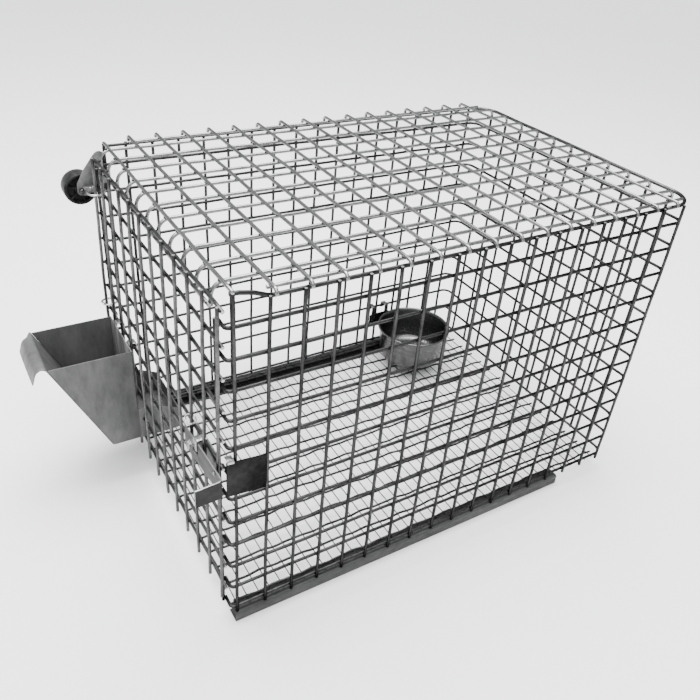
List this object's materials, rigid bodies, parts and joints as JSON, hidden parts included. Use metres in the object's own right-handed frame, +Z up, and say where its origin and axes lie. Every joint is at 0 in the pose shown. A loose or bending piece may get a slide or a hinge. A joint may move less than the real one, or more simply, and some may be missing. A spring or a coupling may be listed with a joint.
{
  "type": "live catch trap",
  "caption": "Welded wire cage for live catch, with a hinged mesh end door, sliding latch, hook-on feed hopper and drinking cup, mesh floor and tray runners.",
  "frame": {"origin": "middle of the underside of the whole part's box, on the surface that the runners stand on", "axes": "+X from the door and hopper end to the blind end, along the longest extent; +Y from the latch side to the hinge side; +Z up"},
  "size_m": [0.5488, 0.34, 0.3152],
  "materials": {
    "mesh_wire": "zinc-coated, dull sheen, slightly mottled",
    "bright_wire": "bright drawn wire",
    "floor_wire": "zinc-coated, dull",
    "dark_sheet": "zinc-coated sheet, darkened",
    "hopper_sheet": "satin zinc-coated sheet with a soiled, faintly brushed look",
    "cup_steel": "satin stainless",
    "bright_fitting": "bright plated",
    "black_plastic": "moulded, satin"
  },
  "bodies": {
    "cage_body": {"near_side_mesh": "mesh_wire", "far_side_mesh": "mesh_wire", "blind_end_mesh": "mesh_wire", "blind_end_top_wire": "bright_wire", "roof_mesh": "mesh_wire", "doorway_lip_near": "mesh_wire", "doorway_lip_far": "mesh_wire", "doorway_lip_top": "mesh_wire", "floor_mesh": "floor_wire", "runner_near": "dark_sheet", "runner_far": "dark_sheet", "latch_keeper": "dark_sheet", "hinge_ring_low": "bright_wire", "hinge_ring_middle": "bright_wire", "hinge_ring_high": "bright_wire", "wheel_bracket": "hopper_sheet", "bracket_washer": "hopper_sheet", "bracket_rivet": "bright_fitting", "wheel_axle": "bright_fitting"},
    "door": {"door_mesh": "mesh_wire", "latch_backplate": "dark_sheet", "latch_guide": "bright_fitting", "latch_screw": "bright_fitting"},
    "latch": {"latch_strap": "dark_sheet"},
    "guide_wheel": {"wheel": "black_plastic"},
    "feeder": {"hopper_body": "hopper_sheet", "feed_trough": "hopper_sheet", "hopper_hook_near": "hopper_sheet", "hopper_hook_far": "hopper_sheet"},
    "cup_unit": {"cup": "cup_steel", "cup_hanger": "dark_sheet"}
  },
  "joints": [
    {"name": "door_hinge", "type": "hinge", "parent": "cage_body", "child": "door", "pos_m": [-0.18476, 0.1288, 0.165], "axis": [0, 0, -1], "range_deg": [0, 130]},
    {"name": "latch_slide", "type": "slide", "parent": "door", "child": "latch", "axis": [0, 1, 0], "range_m": [0, 0.012]},
    {"name": "wheel_spin", "type": "hinge", "parent": "cage_body", "child": "guide_wheel", "pos_m": [-0.19046, 0.16, 0.2668], "axis": [0, 1, 0], "continuous": true},
    {"name": "feeder_lift", "type": "slide", "parent": "door", "child": "feeder", "axis": [0, 0, 1], "range_m": [0, 0.009]},
    {"name": "cup_lift", "type": "slide", "parent": "cage_body", "child": "cup_unit", "axis": [0, 0, 1], "range_m": [0, 0.009]}
  ]
}
